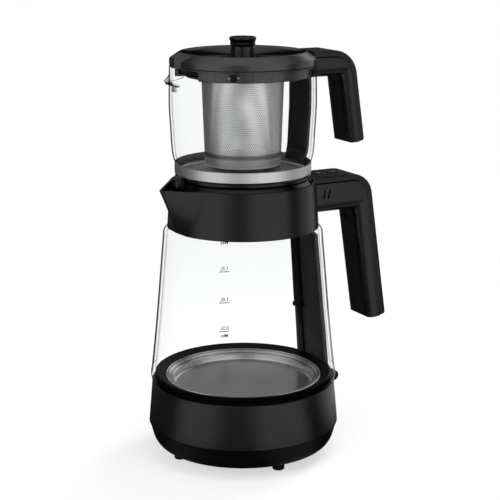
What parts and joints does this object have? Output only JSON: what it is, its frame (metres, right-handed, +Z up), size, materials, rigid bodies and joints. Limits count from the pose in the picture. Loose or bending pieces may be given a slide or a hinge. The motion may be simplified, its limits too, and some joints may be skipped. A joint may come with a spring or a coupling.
{
  "type": "automatic tea maker",
  "caption": "Cordless glass kettle on a round power base with a lidded glass teapot and strainer stacked on its collar.",
  "frame": {"origin": "on the vertical axis, at the level of the surface it stands on", "axes": "+Z up, +X to both handles, -X to both spouts"},
  "size_m": [0.2239, 0.1688, 0.3682],
  "materials": {
    "satin_black_plastic": "satin, fine grain",
    "soft_black_plastic": "matte",
    "gloss_black_plastic": "high gloss",
    "clear_glass": "polished, clear",
    "brushed_steel": "brushed round the axis",
    "perforated_steel": "satin, finely perforated",
    "black_rubber": "matte",
    "black_silicone": "satin",
    "brass_contacts": "plated",
    "aluminium": "as rolled",
    "plated_screws": "zinc plated",
    "board_green": "solder mask",
    "light_lens": "frosted, translucent"
  },
  "bodies": {
    "power_base": {"base_shell": "soft_black_plastic", "base_plate": "soft_black_plastic", "foot_1": "black_rubber", "foot_2": "black_rubber", "foot_3": "black_rubber", "foot_4": "black_rubber", "base_screws": "plated_screws", "cord_gland": "black_rubber", "base_connector": "gloss_black_plastic", "base_contacts": "brass_contacts"},
    "kettle": {"kettle_connector": "gloss_black_plastic", "thermostat_control": "soft_black_plastic", "kettle_housing": "satin_black_plastic", "bottom_cover": "soft_black_plastic", "bottom_screws": "plated_screws", "lever_pin": "plated_screws", "heater_pan": "brushed_steel", "heat_spreader": "aluminium", "heating_element": "brushed_steel", "glass_seal": "black_silicone", "kettle_glass": "clear_glass", "collar": "satin_black_plastic", "kettle_spine": "soft_black_plastic", "steam_duct": "satin_black_plastic", "kettle_handle_grip": "satin_black_plastic", "kettle_handle_cover": "soft_black_plastic", "kettle_handle_screws": "plated_screws", "control_panel": "gloss_black_plastic", "switch_board": "board_green"},
    "switch_lever": {"power_lever": "satin_black_plastic"},
    "boil_key": {"boil_button": "gloss_black_plastic", "boil_light": "light_lens"},
    "keep_warm_key": {"keep_warm_button": "gloss_black_plastic", "keep_warm_light": "light_lens"},
    "rest_ring": {"teapot_rest_ring": "satin_black_plastic"},
    "teapot": {"teapot_foot_ring": "gloss_black_plastic", "teapot_band": "brushed_steel", "teapot_glass": "clear_glass", "teapot_bracket": "soft_black_plastic", "teapot_handle_grip": "satin_black_plastic", "teapot_handle_cover": "soft_black_plastic", "teapot_handle_screws": "plated_screws"},
    "strainer": {"strainer_collar": "satin_black_plastic", "strainer_basket": "perforated_steel"},
    "lid": {"teapot_lid": "gloss_black_plastic", "lid_knob": "gloss_black_plastic", "knob_screw": "plated_screws"}
  },
  "joints": [
    {"name": "kettle_lift", "type": "slide", "parent": "power_base", "child": "kettle", "axis": [0, 0, 1], "range_m": [0, 0.06]},
    {"name": "rest_ring_lift", "type": "slide", "parent": "kettle", "child": "rest_ring", "axis": [0, 0, 1], "range_m": [0, 0.04]},
    {"name": "teapot_lift", "type": "slide", "parent": "rest_ring", "child": "teapot", "axis": [0, 0, 1], "range_m": [0, 0.06]},
    {"name": "strainer_lift", "type": "slide", "parent": "teapot", "child": "strainer", "axis": [0, 0, 1], "range_m": [0, 0.1]},
    {"name": "lid_lift", "type": "slide", "parent": "strainer", "child": "lid", "axis": [0, 0, 1], "range_m": [0, 0.04]},
    {"name": "boil_press", "type": "slide", "parent": "kettle", "child": "boil_key", "axis": [0, 0, -1], "range_m": [0, 0.001], "stiffness_N_per_m": 400, "springref_m": -0.001},
    {"name": "keep_warm_press", "type": "slide", "parent": "kettle", "child": "keep_warm_key", "axis": [0, 0, -1], "range_m": [0, 0.001], "stiffness_N_per_m": 400, "springref_m": -0.001},
    {"name": "switch_lever_turn", "type": "hinge", "parent": "kettle", "child": "switch_lever", "pos_m": [0.0752, 0, 0.0505], "axis": [0, 1, 0], "range_deg": [0, 12]}
  ]
}
